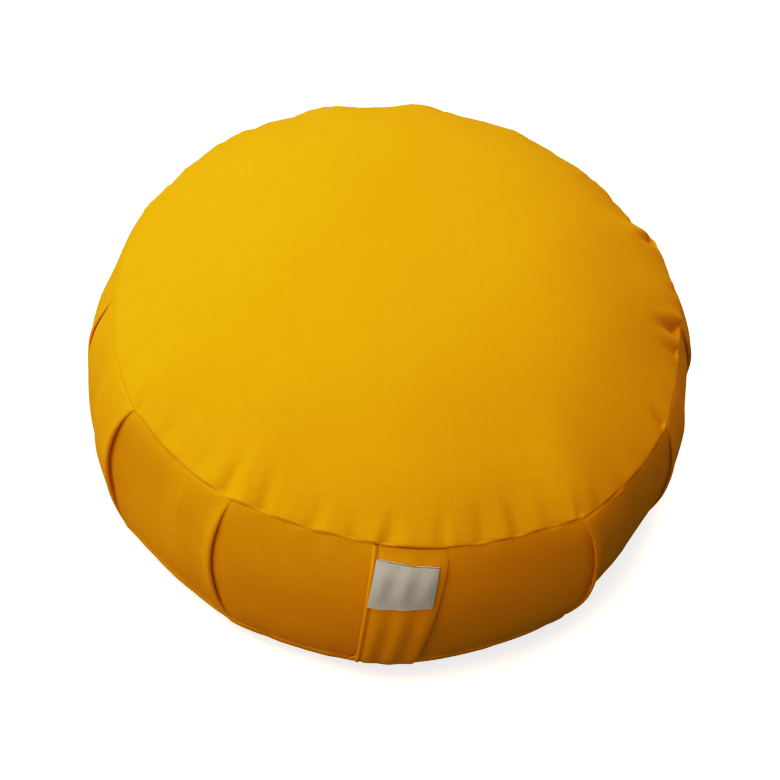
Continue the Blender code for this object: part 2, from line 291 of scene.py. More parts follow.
def section(size, along):
    """Radius and height of the plain turned form at places along the section."""
    along = np.asarray(along, float)
    crown = np.clip(along, CROWN, TOP_SEAM)
    down = np.clip(along - TOP_SEAM, 0.0, 1.0)
    turn = np.clip(along - BOTTOM_SEAM, 0.0, 1.0) * math.pi / 2
    rise = (size.crown_height - size.top_seam_height) * (1.0 - crown ** size.crown_power)
    bulge = size.widest_radius - (size.top_seam_radius + size.bottom_seam_radius) / 2
    band_radius = (size.top_seam_radius + (size.bottom_seam_radius - size.top_seam_radius) * down
                   + 4 * bulge * down * (1 - down))
    band_height = size.top_seam_height + (size.bottom_seam_height - size.top_seam_height) * down
    power = 2.0 / size.underside_power
    inward = 1.0 - np.clip(np.cos(turn), 0.0, 1.0) ** power
    under_radius = size.bottom_seam_radius + (size.base_radius - size.bottom_seam_radius) * inward
    under_height = size.bottom_seam_height * (1.0 - np.sin(turn) ** power)
    places = [along <= TOP_SEAM, along <= BOTTOM_SEAM, along <= BASE_EDGE]
    radius = np.select(places, [size.top_seam_radius * crown, band_radius, under_radius],
                       size.base_radius * (BASE_CENTRE - along))
    height = np.select(places, [size.top_seam_height + rise, band_height, under_height], 0.0)
    return radius, height


def section_normal(size, along):
    """Outward direction of the section, as parts along the radius and the height."""
    step = 0.02
    low = np.clip(np.asarray(along, float) - step, CROWN, BASE_EDGE - 2 * step)
    radius_a, height_a = section(size, low)
    radius_b, height_b = section(size, low + 2 * step)
    length = np.hypot(radius_b - radius_a, height_b - height_a)
    return (height_a - height_b) / length, (radius_b - radius_a) / length


def seam_distance(size, along, seam):
    """Distance along the section's surface to a seam."""
    radius, height = section(size, along)
    seam_radius, seam_height = section(size, float(seam))
    return np.hypot(radius - seam_radius, height - seam_height)


def seam_distances(size, along):
    """Distances to the top seam and to the bottom seam."""
    return seam_distance(size, along, TOP_SEAM), seam_distance(size, along, BOTTOM_SEAM)


def stations():
    """Bearing, lean, bow, corner and fullness at the folds and the strap's centreline, in order."""
    rows = sorted([row[:3] + row[5:] for row in PLEATS] + [STRAP_LINE])
    first = rows[0]
    return np.array(rows + [(first[0] + 360.0,) + first[1:]])


def station_share(bearing):
    """The stations before and after each bearing, and the share of the way between them."""
    table = stations()
    bearing = (np.asarray(bearing, float) - table[0, 0]) % 360.0 + table[0, 0]
    after = np.clip(np.searchsorted(table[:, 0], bearing, side="right"), 1, len(table) - 1)
    before = after - 1
    share = (bearing - table[before, 0]) / (table[after, 0] - table[before, 0])
    return table[before], table[after], share


def turned_bearing(bearing, down):
    """Where lines that leave the top seam at these bearings have got to, some way down the band."""
    before, after, share = station_share(bearing)
    lean = before[..., 1] + (after[..., 1] - before[..., 1]) * smooth(share)
    bow = before[..., 2] + (after[..., 2] - before[..., 2]) * smooth(share)
    return bearing + lean * down + bow * 4.0 * down * (1.0 - down)


def corner_relief(size, bearing, softness=0.0):
    """Corners of the outline at the folds, sharp on the band and softer with distance from it."""
    before, after, share = station_share(bearing)
    corner = np.where(share < 0.5, before[..., 3], after[..., 3])
    drop = before[..., 3] + (after[..., 3] - before[..., 3]) * smooth(share)
    full = before[..., 4] * MM * (1.0 - (2.0 * share - 1.0) ** 4)
    sharp = (2.0 * share - 1.0) ** 2
    soft = (0.5 + 0.5 * np.cos(math.tau * share)) ** 1.5
    return size.corner_rise * corner * (sharp + (soft - sharp) * softness) - size.corner_drop * drop + full


def pull_relief(size, bearing, distance):
    """Dents that the ends of the folds pull into the edge of the top panel."""
    relief = 0.0
    for row in PLEATS:
        away = size.widest_radius * np.radians(turn_between(bearing, row[0]))
        reach = (PULL_REACH + PULL_REACH_GROWTH * row[4]) * MM
        along = smooth(distance / PULL_START) * (1.0 - smooth(distance / reach))
        relief = relief - row[4] * MM * np.exp(-(away / PULL_HALF_WIDTH) ** 2) * along
    for place, slant, length, depth, width in CREASES:
        away = size.widest_radius * np.radians(turn_between(bearing, place)) - slant * distance
        along = smooth(distance / CREASE_START) * (1.0 - smooth(distance / (length * MM)))
        away = away / (width * MM)
        valley = np.exp(-away ** 2) - CREASE_BANK * np.exp(-(away - CREASE_BANK_PLACE) ** 2)
        relief = relief - depth * MM * valley * along
    return relief


def puckers(size, bearing, distance, gathers):
    """Uneven gathers beside a seam, running straight away from it."""
    seed, pitch, share, longest = gathers
    pitch, longest, depth = pitch * MM, longest * MM, share * size.pucker_depth
    random = np.random.default_rng(seed)
    count = round(math.tau * size.top_seam_radius / pitch)
    relief = 0.0
    for number in range(count):
        place = 360.0 * (number + random.uniform(-0.35, 0.35)) / count
        width = pitch * random.uniform(0.2, 0.36)
        height = depth * random.uniform(0.3, 1.0) * (-1.0 if number % 2 else 0.6)
        in_front = abs(turn_between(place, FRONT_BEARING)) < FRONT_HALF_TURN
        height = height * (1.0 if in_front else CALM_SHARE)
        reach = longest * random.uniform(0.35, 1.0)
        slant = random.uniform(-0.25, 0.25)
        away = size.widest_radius * np.radians(turn_between(bearing, place)) - slant * distance
        fade = smooth(distance / GATHERS_START) * (1.0 - smooth(distance / reach))
        relief = relief + height * np.exp(-(away / width) ** 2) * fade
    return relief


def lumps(points, depth):
    """Gentle unevenness of the filling, as a few long waves through space."""
    random = np.random.default_rng(LUMP_SEED)
    relief = np.zeros(points.shape[:-1])
    for _ in range(LUMP_WAVES):
        heading = random.normal(size=3)
        heading /= np.linalg.norm(heading)
        wave = random.uniform(LUMP_SHORTEST, LUMP_LONGEST) * MM
        phase = random.uniform(0, math.tau)
        relief += np.sin(points @ heading * math.tau / wave + phase)
    return relief * depth / math.sqrt(LUMP_WAVES / 2)


def seam_relief(size, along):
    """The panels' edges roll in to the seams; below the top seam the band comes out again slowly."""
    top, low = seam_distances(size, along)
    roll = np.where(np.asarray(along) > TOP_SEAM, size.seam_recovery, size.seam_roll)
    return -size.seam_depth * (np.exp(-top / roll) + LOW_SEAM_SHARE * np.exp(-low / size.seam_roll))


def corner_share(down):
    """How much of the corners shows: part of it at the seams and all of it at half height."""
    swell = np.sin(math.pi * np.clip(down, 0.0, 1.0)) ** SWELL_POWER
    return CORNERS_AT_SEAMS + (1.0 - CORNERS_AT_SEAMS) * swell


def soft_relief(size, bearing, along):
    """Everything but the folds that stands off the plain turned form, along its normal."""
    top, low = seam_distances(size, along)
    on_crown = along <= TOP_SEAM
    on_band = (along > TOP_SEAM) & (along <= BOTTOM_SEAM)
    edge = smooth(1.0 - (TOP_SEAM - along) / CORNERS_REACH_CROWN)
    under = smooth(1.0 - (along - BOTTOM_SEAM) / (BASE_EDGE - BOTTOM_SEAM))
    corners = np.select([on_crown, on_band], [CORNERS_AT_SEAMS * edge, corner_share(along - TOP_SEAM)],
                        CORNERS_AT_SEAMS * under)
    softness = np.where(on_crown, smooth(top / CORNERS_SOFTEN), 0.0)
    seams = seam_relief(size, along) * np.where(along > BOTTOM_SEAM, under, 1.0)
    crown = puckers(size, bearing, top, CROWN_GATHERS) + pull_relief(size, bearing, top)
    high = puckers(size, bearing, top, BAND_TOP_GATHERS)
    foot = puckers(size, bearing, low, BAND_FOOT_GATHERS)
    gathers = np.select([on_crown, on_band], [crown, high + foot], under * foot)
    return corners * corner_relief(size, bearing, softness) + seams + gathers


def seam_wander(bearing, along):
    """How far the top seam's uneven run moves the cloth outwards."""
    table = curve_through(SEAM_WANDER, 8 * len(SEAM_WANDER))
    wander = np.interp(bearing, table[:, 0], table[:, 1], period=360.0) * MM
    return wander * smooth(1.0 - np.abs(np.asarray(along) - TOP_SEAM) / WANDER_REACH)


def place_on_section(size, bearing, along, lift):
    """Points in space from bearings on the top seam, places on the section and heights above it."""
    radius, height = section(size, along)
    out, up = section_normal(size, along)
    along = np.asarray(along)
    lift = np.where(along < POLE_CALM, lift * smooth(along / POLE_CALM), lift)
    radius = radius + lift * out + seam_wander(bearing, along)
    height = np.maximum(height + lift * up, 0.0)
    height = np.where(along >= BASE_EDGE, 0.0, height)
    turned = np.radians(turned_bearing(bearing, np.clip(along - TOP_SEAM, 0.0, 1.0)))
    settle = size.settle_slope * height
    lean = math.radians(size.settle_bearing)
    x = radius * np.sin(turned) + settle * math.sin(lean)
    y = -radius * np.cos(turned) - settle * math.cos(lean)
    return np.stack(np.broadcast_arrays(x, y, height), -1)


def curve_through(points, count):
    """A smooth curve through points, read at evenly shared places."""
    points = np.asarray(points, float)
    padded = np.vstack([2 * points[0] - points[1], points, 2 * points[-1] - points[-2]])
    places = np.linspace(0, len(points) - 1, count)
    first = np.minimum(places.astype(int), len(points) - 2)
    t = (places - first)[:, None]
    a, b, c, d = (padded[first + k] for k in range(4))
    return 0.5 * (2 * b + (c - a) * t + (2 * a - 5 * b + 4 * c - d) * t ** 2
                  + (3 * b - a - 3 * c + d) * t ** 3)


def cover_columns(size):
    """Bearing when flat, bearing when folded and fold height of each column of the cover."""
    path = curve_through(FOLD_PATH, 2 * len(FOLD_PATH) - 1) * MM
    turn = 1.0 / size.widest_radius
    between_last = (PLEATS[0][0] + 360.0 - PLEATS[-1][0]) / math.degrees(turn) / 2 - 2 * MM
    columns = []
    for row in PLEATS:
        side = 1.0 if row[0] > 0.0 else -1.0
        reach = between_last if row in (PLEATS[0], PLEATS[-1]) else path[-1, 0]
        for flat, folded, height in path[path[:, 0] <= reach]:
            height = height * (1.0 - smooth((flat - reach + FOLD_RUNS_OUT) / FOLD_RUNS_OUT))
            columns.append((row[0] + side * math.degrees(flat * turn),
                            row[0] + side * math.degrees(folded * turn),
                            height * row[3] / FOLD_PATH_STEP))
    columns.sort()
    filled = []
    for here, after in zip(columns, columns[1:] + [tuple(np.add(columns[0], (360.0, 360.0, 0.0)))]):
        span = math.radians(after[0] - here[0]) * size.widest_radius
        pieces = max(1, math.ceil(span / size.column_pitch - 0.01))
        for piece in range(pieces):
            filled.append(np.add(here, np.subtract(after, here) * piece / pieces))
    return np.array(filled)


def seam_rows(seam, before, after):
    """Rows packed closely on both sides of a seam."""
    rows = [seam - step * MM / before for step in reversed(SEAM_ROW_STEPS)] + [seam]
    return rows + [seam + step * MM / after for step in SEAM_ROW_STEPS]


def cover_rows(size):
    """Places along the section of the cover's rows, without its two poles."""
    crown_length = seam_distance(size, 0.9, TOP_SEAM) / 0.1
    band_length = size.top_seam_height - size.bottom_seam_height
    under_length = seam_distance(size, 2.15, BOTTOM_SEAM) / 0.15
    top = seam_rows(TOP_SEAM, crown_length, band_length)
    low = seam_rows(BOTTOM_SEAM, band_length, under_length)
    rows = list(np.linspace(FIRST_ROW, top[0], CROWN_ROWS)[:-1]) + top
    rows += list(np.linspace(top[-1], low[0], BAND_ROWS)[1:-1]) + low
    rows += list(np.linspace(low[-1], BASE_EDGE, UNDER_ROWS)[1:])
    rows += list(np.linspace(BASE_EDGE, BASE_CENTRE, BASE_ROWS)[1:-1])
    return np.array(rows)


def fold_opening(size, along):
    """How far the folds stand open: shut at the seams, full at half height."""
    top, low = seam_distances(size, along)
    nearest = np.minimum(top, low)
    opening = (FOLD_LIP_SHARE * smooth(nearest / FOLD_LIP_REACH)
               + (1.0 - FOLD_LIP_SHARE) * smooth(nearest / FOLD_OPEN_REACH))
    return np.where((along > TOP_SEAM) & (along < BOTTOM_SEAM), opening, 0.0)


def cover_points(size):
    """Every point of the cover: rows by columns, then the middle of the crown and of the base."""
    columns = cover_columns(size)
    along = cover_rows(size)[:, None]
    opening = fold_opening(size, along)
    flat, folded, height = columns.T
    bearing = flat + (folded - flat) * opening
    plain = place_on_section(size, bearing, along, 0.0)
    fade = np.clip((BASE_EDGE - along) / 0.5, 0.0, 1.0)
    lift = soft_relief(size, flat[None, :], along) + height * opening
    lift = lift + lumps(plain, size.lump_depth) * fade
    grid = place_on_section(size, bearing, along, lift)
    crown = place_on_section(size, np.zeros(1), np.zeros(1), np.zeros(1))
    base = np.zeros((1, 3))
    return grid, crown, base


def mesh_object(name, points, faces, materials, slots=None):
    """A smooth-shaded object from points and faces."""
    mesh = bpy.data.meshes.new(name)
    mesh.from_pydata([tuple(point) for point in points], [], faces)
    for material in materials:
        mesh.materials.append(material)
    if slots is not None:
        mesh.polygons.foreach_set("material_index", slots)
    mesh.shade_smooth()
    mesh.validate()
    item = bpy.data.objects.new(name, mesh)
    bpy.context.scene.collection.objects.link(item)
    return item


def ring_faces(rows, columns):
    """Quads of a grid that closes round, with its rows from top to bottom."""
    faces = []
    for row in range(rows - 1):
        for column in range(columns):
            after = (column + 1) % columns
            high = row * columns
            low = high + columns
            faces.append((high + column, low + column, low + after, high + after))
    return faces


def tube_faces(rows, columns):
    """Faces of a tube that is closed at both ends."""
    faces = ring_faces(rows, columns)
    faces.append(tuple(reversed(range(columns))))
    faces.append(tuple(range((rows - 1) * columns, rows * columns)))
    return faces


def strip_object(name, grid, material):
    """A closed flat strip from its grid of points."""
    faces = [tuple(reversed(face)) for face in tube_faces(*grid.shape[:2])]
    return mesh_object(name, grid.reshape(-1, 3), faces, [material])


def build_cover(size, materials):
    """The sewn cover as one closed, crowned form."""
    grid, crown, base = cover_points(size)
    rows, columns = grid.shape[:2]
    faces = ring_faces(rows, columns)
    along = cover_rows(size)
    slots = []
    for row in range(rows - 1):
        middle = (along[row] + along[row + 1]) / 2
        slots += [1 if TOP_SEAM < middle < BOTTOM_SEAM else 0] * columns
    crown_point = rows * columns
    base_point = crown_point + 1
    last = (rows - 1) * columns
    for column in range(columns):
        after = (column + 1) % columns
        faces.append((crown_point, column, after))
        faces.append((base_point, last + after, last + column))
        slots += [0, 0]
    points = np.vstack([grid.reshape(-1, 3), crown, base])
    return mesh_object("cushion_cover", points, faces, materials, slots)


def strap_ripple(strap, across, down):
    """Soft ripples down the strap, which are strongest on its lower part."""
    wave = 0.5 - 0.5 * np.cos(math.tau * (across / strap.ripple_pitch - RIPPLE_SLANT * down + RIPPLE_PHASE))
    rise = FIRST_RIPPLES * smooth(down / 0.1) + (1.0 - FIRST_RIPPLES) * smooth((down - 0.3) / 0.3)
    return strap.ripple * wave * rise * (1.0 - 0.5 * smooth((down - 0.9) / 0.1))


def strap_width(strap, down):
    """Width of the strap."""
    return strap.top_width + (strap.bottom_width - strap.top_width) * down


def strap_flare(strap, down):
    """How far the left edge spreads where the end is pressed flat."""
    return strap.flare * smooth((down - STRAP_FLARES_FROM) / STRAP_FLARE_RUN)


def strap_stand(strap, down):
    """Height of the strap's underside: into the top seam, close on the band, proud at its low end."""
    tucked = strap.tuck * (1.0 - smooth(down / STRAP_TUCKED_BY)) ** 1.5
    return strap.gap - tucked + strap.stand * smooth((down - STRAP_STANDS_FROM) / (1.0 - STRAP_STANDS_FROM))


def strap_top(strap, across, down):
    """Height of the strap's upper side over the band."""
    return strap_stand(strap, down) + strap_ripple(strap, across, down) + strap.thickness


def on_strap_line(size, across, down, lift):
    """Points over the band from distances across the strap and shares of the way down it."""
    along = TOP_SEAM + down
    bearing = np.degrees(across / section(size, along)[0])
    seams = size.seam_depth * 0.4 * np.exp(-np.minimum(down, 1 - down) * 20)
    lift = lift + corner_share(down) * corner_relief(size, bearing) - seams
    return place_on_section(size, bearing, along, lift)


def rounded_loop(count):
    """Cross section of a flat strip, going round: across from -1 to 1 and height from 0 to 1."""
    turn = np.linspace(0, math.tau, count, endpoint=False)
    across = np.cos(turn)
    swell = np.clip(1.0 - np.abs(across) ** EDGE_SQUARENESS, 0.0, 1.0) ** EDGE_ROUNDING
    height = 0.5 + 0.5 * np.sign(np.sin(turn)) * swell
    return across, height


def build_strap(size, strap, material):
    """The folded strap as one closed strip with rounded edges and sunk stitching lines."""
    down = np.linspace(0, STRAP_END, STRAP_ROWS)[:, None]
    half = strap_width(strap, down) / 2
    across, height = rounded_loop(STRAP_COLUMNS)
    spread = np.where(across < 0, -across, 0.0)[None, :] * strap_flare(strap, down)
    side = across[None, :] * half - spread
    upper = np.clip((height[None, :] - 0.5) * 2, 0, 1)
    stitch = np.exp(-((side + half - strap.stitch_inset) / (GROOVE_WIDTH * MM)) ** 2)
    roll = np.exp(-((side + half - EDGE_ROLL_PLACE * MM) / (EDGE_ROLL_PLACE * MM)) ** 2)
    lift = strap_stand(strap, down) + strap_ripple(strap, side, down) + height[None, :] * strap.thickness
    lift = lift + (EDGE_ROLL_HEIGHT * roll - GROOVE_DEPTH * stitch) * MM * upper
    return strip_object("folded_strap", on_strap_line(size, side, down, lift), material)


def capsule(centre, along, out, length, radius):
    """Points and faces of one stitch: a short thread that dips at both ends."""
    side = np.cross(along, out)
    rings, sides = 7, 6
    points = []
    for step in range(rings):
        share = 2.0 * step / (rings - 1) - 1.0
        swell = max(1.0 - share ** 4, 0.08) ** 0.5
        middle = centre + along * share * length / 2 - out * radius * 1.3 * share ** 2
        for corner in range(sides):
            turn = math.tau * corner / sides
            points.append(middle + (side * math.cos(turn) + out * math.sin(turn)) * radius * swell)
    return points, tube_faces(rings, sides)


def stitch_line(name, places, length, radius, material):
    """Stitches along a line of places, joined into one object."""
    outward = places * np.array([1.0, 1.0, 0.0])
    outward = outward / np.linalg.norm(outward, axis=1)[:, None]
    points, faces = [], []
    for here, after, out in zip(places, places[1:], outward):
        along = after - here
        along = along / np.linalg.norm(along)
        new_points, new_faces = capsule((here + after) / 2, along, out, length, radius)
        faces += [tuple(index + len(points) for index in face) for face in new_faces]
        points += new_points
    return mesh_object(name, points, faces, [material])


def build_strap_stitches(size, strap, name, material):
    """Top stitching near the left edge of the strap."""
    band_length = size.top_seam_height - size.bottom_seam_height
    count = round(band_length / strap.stitch_pitch)
    down = np.linspace(0.02, 0.97, count)
    across = strap.stitch_inset - strap_width(strap, down) / 2
    lift = strap_top(strap, across, down) - STRAP_STITCH_SINK * MM
    places = on_strap_line(size, across, down, lift)
    return stitch_line(name, places, STRAP_STITCH_LENGTH * strap.stitch_pitch,
                       STRAP_STITCH_RADIUS * MM, material)


def label_lift(strap, label, across, down):
    """Height over the band of the label's underside, which follows the strap with its own soft waves."""
    share = np.clip((down - (1 - label.top)) / (label.top - label.bottom), 0, 1)
    wave = 1 + np.sin(across / (LABEL_WAVE_PITCH * MM) + 3 * down + LABEL_WAVE_PHASE)
    own = LABEL_WAVE_HEIGHT * MM * wave * np.sin(math.pi * share)
    return strap_top(strap, across, down) + label.gap + own


def label_skew(size, label, side, share):
    """How much lower, as a share of the band, the label sits towards two opposite corners."""
    return label.skew * side * (1.0 - 2.0 * share) / (size.top_seam_height - size.bottom_seam_height)


def build_label(size, strap, label, material):
    """The woven label as a thin closed patch with folded, softly rounded edges."""
    share = np.linspace(0, 1, LABEL_ROWS)[:, None]
    down = (1 - label.top) + (label.top - label.bottom) * share
    across, height = rounded_loop(LABEL_COLUMNS)
    side = across[None, :] * label.width / 2 + label.shift
    down = down + label_skew(size, label, across[None, :], share)
    lift = label_lift(strap, label, side, down) + height[None, :] * label.thickness
    return strip_object("woven_label", on_strap_line(size, side, down, lift), material)


def build_label_stitches(size, strap, label, edge, name, material):
    """Small stitches along the top or the bottom edge of the label."""
    inset, pitch = LABEL_STITCH_INSET * MM, LABEL_STITCH_PITCH * MM
    count = round((label.width - 2 * inset) / pitch) + 1
    across = np.linspace(-label.width / 2 + inset, label.width / 2 - inset, count)
    at_top = edge == "top"
    row = (1 - label.top) + LABEL_STITCH_DOWN if at_top else (1 - label.bottom) - LABEL_STITCH_DOWN
    down = row + label_skew(size, label, 2.0 * across / label.width, 0.0 if at_top else 1.0)
    across = across + label.shift
    lift = label_lift(strap, label, across, down) + label.thickness + LABEL_STITCH_RISE * MM
    places = on_strap_line(size, across, down, lift)
    return stitch_line(name, places, LABEL_STITCH_LENGTH * pitch,
                       LABEL_STITCH_RADIUS * MM, material)


def value_of(tree, socket, value):
    """Set a node's input from a number or from another node's output."""
    if isinstance(value, bpy.types.NodeSocket):
        tree.links.new(value, socket)
    elif value is not None:
        socket.default_value = value


def maths(tree, operation, first, second=None, third=None):
    """A Math node's output."""
    node = tree.nodes.new("ShaderNodeMath")
    node.operation = operation
    for socket, value in zip(node.inputs, (first, second, third)):
        value_of(tree, socket, value)
    return node.outputs[0]


def arithmetic(tree):
    """Makers of Math nodes in a tree that multiply, add and subtract."""
    return [partial(maths, tree, operation) for operation in ("MULTIPLY", "ADD", "SUBTRACT")]


def set_inputs(tree, node, values):
    """Set or link several of a node's inputs."""
    for name, value in values.items():
        value_of(tree, node.inputs[name], value)


def noise(tree, vector, scale, detail):
    """A Noise Texture's factor."""
    node = tree.nodes.new("ShaderNodeTexNoise")
    set_inputs(tree, node, {"Vector": vector, "Scale": scale, "Detail": detail})
    return node.outputs["Fac"]


def combine(tree, x, y):
    """A vector from two values."""
    node = tree.nodes.new("ShaderNodeCombineXYZ")
    for socket, value in zip(node.inputs, (x, y)):
        value_of(tree, socket, value)
    return node.outputs[0]


def mix_colour(tree, factor, first, second):
    """A colour Mix node's output."""
    node = tree.nodes.new("ShaderNodeMix")
    node.data_type = "RGBA"
    set_inputs(tree, node, {"Factor": factor, "A": first, "B": second})
    return node.outputs["Result"]


FLOAT, COLOUR, VECTOR = "NodeSocketFloat", "NodeSocketColor", "NodeSocketVector"


def new_group(name, inputs, outputs):
    """An empty shader node group with its sockets and its two end nodes."""
    group = bpy.data.node_groups.new(name, "ShaderNodeTree")
    for label, kind, default in inputs:
        socket = group.interface.new_socket(name=label, in_out="INPUT", socket_type=kind)
        if default is not None:
            socket.default_value = default
    for label, kind in outputs:
        group.interface.new_socket(name=label, in_out="OUTPUT", socket_type=kind)
    return group, group.nodes.new("NodeGroupInput"), group.nodes.new("NodeGroupOutput")


def plain_weave_group():
    """Threads over and under each other: their height, the gaps between them and their uneven tone."""
    group, source, result = new_group(
        "Plain Weave",
        [("Across", FLOAT, 0.0), ("Along", FLOAT, 0.0),
         ("Pitch", FLOAT, 0.0005), ("Slub", FLOAT, 0.25)],
        [("Height", FLOAT), ("Gap", FLOAT), ("Tone", FLOAT)])
    given = source.outputs
    product, total, difference = arithmetic(group)
    plane = combine(group, given["Across"], given["Along"])
    drift = product(difference(noise(group, plane, 140.0, 3.0), 0.5),
                    product(given["Slub"], 3.0))
    pitch = given["Pitch"]
    across = total(maths(group, "DIVIDE", given["Across"], pitch), drift)
    along = difference(maths(group, "DIVIDE", given["Along"], pitch), drift)
    heights, numbers = [], []
    for here, other, sign in ((across, along, 1.0), (along, across, -1.0)):
        number = maths(group, "FLOOR", here)
        offset = maths(group, "MULTIPLY_ADD", maths(group, "FRACT", here), 2.0, -1.0)
        round_top = difference(1.0, product(offset, offset))
        turns = total(difference(other, 0.5), number)
        phase = product(turns, math.pi)
        wave = product(maths(group, "COSINE", phase), 0.32 * sign)
        heights.append(maths(group, "MULTIPLY_ADD", round_top, 0.6, wave))
        numbers.append(number)
    height = maths(group, "MAXIMUM", heights[0], heights[1])
    warp_on_top = maths(group, "GREATER_THAN", heights[0], heights[1])
    tones = []
    for number in numbers:
        random = group.nodes.new("ShaderNodeTexWhiteNoise")
        random.noise_dimensions = "1D"
        group.links.new(number, random.inputs["W"])
        tones.append(random.outputs["Value"])
    thread = total(product(tones[0], warp_on_top),
                   product(tones[1], difference(1.0, warp_on_top)))
    group.links.new(maths(group, "MULTIPLY_ADD", height, 0.7, 0.3), result.inputs["Height"])
    # Gap marks the low places between the threads, which the tone group darkens as painted shade.
    gap = difference(1.0, product(height, 1.6))
    group.links.new(gap, result.inputs["Gap"])
    group.links.new(thread, result.inputs["Tone"])
    return group


def cloth_tone_group():
    """Soft clouds, streaks along the threads, and slight painted shade in the gaps between the threads, so
    that what stands proud is lighter.
    """
    group, source, result = new_group(
        "Cloth Tone",
        [("Position", VECTOR, None), ("Across", FLOAT, 0.0),
         ("Along", FLOAT, 0.0), ("Colour", COLOUR, (0.8, 0.8, 0.8, 1.0)),
         ("Deep Colour", COLOUR, (0.5, 0.5, 0.5, 1.0)), ("Gap", FLOAT, 0.0),
         ("Tone", FLOAT, 0.5)],
        [("Colour", COLOUR), ("Roughness", FLOAT)])
    given = source.outputs
    product, total, difference = arithmetic(group)
    cloud = noise(group, given["Position"], 16.0, 3.0)
    thread_scale, run_scale = 1400.0, 60.0
    streaks = []
    for across_scale, along_scale in ((thread_scale, run_scale), (run_scale, thread_scale)):
        place = combine(group, product(given["Across"], across_scale),
                        product(given["Along"], along_scale))
        streaks.append(product(noise(group, place, 1.0, 2.0), 0.5))
    streak = total(*streaks)
    # The gaps between the threads take the deep colour as painted shade; the thread tone, streaks and clouds
    # are the cloth's own uneven colour.
    painted_gap_shade_share, thread_share, streak_share, cloud_share = 0.25, 0.16, 0.55, 0.25
    gap = product(maths(group, "MAXIMUM", given["Gap"], 0.0), painted_gap_shade_share)
    depth = total(gap, product(given["Tone"], thread_share))
    for pattern, share in ((streak, streak_share), (cloud, cloud_share)):
        offset = product(difference(pattern, 0.5), share)
        depth = total(depth, offset)
    depth = maths(group, "MINIMUM", maths(group, "MAXIMUM", depth, 0.0), 1.0)
    group.links.new(mix_colour(group, depth, given["Colour"], given["Deep Colour"]),
                    result.inputs["Colour"])
    least_rough, added_rough = 0.82, 0.1
    group.links.new(maths(group, "MULTIPLY_ADD", depth, added_rough, least_rough), result.inputs["Roughness"])
    return group


def group_node(tree, group, **values):
    """A group placed in a tree, with its inputs set or linked."""
    node = tree.nodes.new("ShaderNodeGroup")
    node.node_tree = group
    for name, value in values.items():
        value_of(tree, node.inputs[name.replace("_", " ")], value)
    return node


def cloth_material(name, weave, tone, colour, deep, pitch, bump, sheen, round_band):
    """A woven cloth whose threads run across and along the panel, or round and up the band."""
    material = bpy.data.materials.new(name)
    material.use_nodes = True
    tree = material.node_tree
    shader = tree.nodes["Principled BSDF"]
    place = tree.nodes.new("ShaderNodeTexCoord").outputs["Object"]
    split = tree.nodes.new("ShaderNodeSeparateXYZ")
    tree.links.new(place, split.inputs[0])
    x, y, z = split.outputs
    if round_band:
        turn = maths(tree, "ARCTAN2", x, maths(tree, "MULTIPLY", y, -1.0))
        across = maths(tree, "MULTIPLY", turn, UNROLLED_RADIUS)
        along = z
    else:
        across, along = x, y
    threads = group_node(tree, weave, Across=across, Along=along, Pitch=pitch, Slub=0.25)
    cloth = group_node(tree, tone, Position=place, Across=across, Along=along, Colour=colour,
                       Deep_Colour=deep, Gap=threads.outputs["Gap"], Tone=threads.outputs["Tone"])
    relief = tree.nodes.new("ShaderNodeBump")
    set_inputs(tree, relief, {"Strength": bump, "Distance": 0.3 * pitch, "Height": threads.outputs["Height"]})
    set_inputs(tree, shader, {
        "Normal": relief.outputs["Normal"], "Base Color": cloth.outputs["Colour"],
        "Roughness": cloth.outputs["Roughness"], "Sheen Weight": sheen, "Sheen Roughness": 0.55,
        "Sheen Tint": colour, "Specular IOR Level": 0.08})
    return material


def cloths(looks):
    """The canvas of the panels, the canvas of the band and strap, and the label's tape."""
    found = bpy.data.materials
    if "canvas_panel" not in found:
        weave, tone = plain_weave_group(), cloth_tone_group()
        # The deep colour is both painted shade between the threads and the cloth's own uneven tone.
        canvas = dict(colour=tuple(looks.canvas), deep=tuple(looks.canvas_shade_and_mottle), pitch=looks.canvas_pitch,
                      bump=0.5, sheen=0.12)
        tape = dict(colour=tuple(looks.tape), deep=tuple(looks.tape_shade_and_mottle), pitch=looks.tape_pitch,
                    bump=0.35, sheen=0.05)
        cloth_material("canvas_panel", weave, tone, **canvas, round_band=False)
        cloth_material("canvas_band", weave, tone, **canvas, round_band=True)
        cloth_material("label_tape", weave, tone, **tape, round_band=True)
    return found["canvas_panel"], found["canvas_band"], found["label_tape"]


class ZAFU_OT_cover(bpy.types.Operator):
    """Build the filled cushion's sewn cover with its crown, folds, seams and gathers"""
    bl_idname = "zafu.cover"
    bl_label = "Cushion Cover"

    def execute(self, context):
        scene = context.scene
        panel, band, _ = cloths(scene.zafu_looks)
        cover = build_cover(scene.zafu_cushion, [panel, band])
        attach(cover, "root")
        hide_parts("cushion")
        return {"FINISHED"}


class ZAFU_OT_strap(bpy.types.Operator):
    """Build the folded carry strap and its top stitching"""
    bl_idname = "zafu.strap"
    bl_label = "Carry Strap"

    def execute(self, context):
        scene = context.scene
        size, strap = scene.zafu_cushion, scene.zafu_strap
        _, band, _ = cloths(scene.zafu_looks)
        piece = build_strap(size, strap, band)
        stitches = build_strap_stitches(size, strap, "strap_stitches", band)
        for item in (piece, stitches):
            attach(item, "root")
        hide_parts("carry_strap")
        return {"FINISHED"}


class ZAFU_OT_label(bpy.types.Operator):
    """Build the bare woven label and the stitches that hold it"""
    bl_idname = "zafu.label"
    bl_label = "Woven Label"

    def execute(self, context):
        scene = context.scene
        size, strap, label = scene.zafu_cushion, scene.zafu_strap, scene.zafu_label
        _, _, tape = cloths(scene.zafu_looks)
        piece = build_label(size, strap, label, tape)
        stitches = [build_label_stitches(size, strap, label, edge, "label_stitches_" + edge, tape)
                    for edge in ("top", "bottom")]
        for item in [piece] + stitches:
            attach(item, "root")
        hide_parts("strap_label")
        return {"FINISHED"}


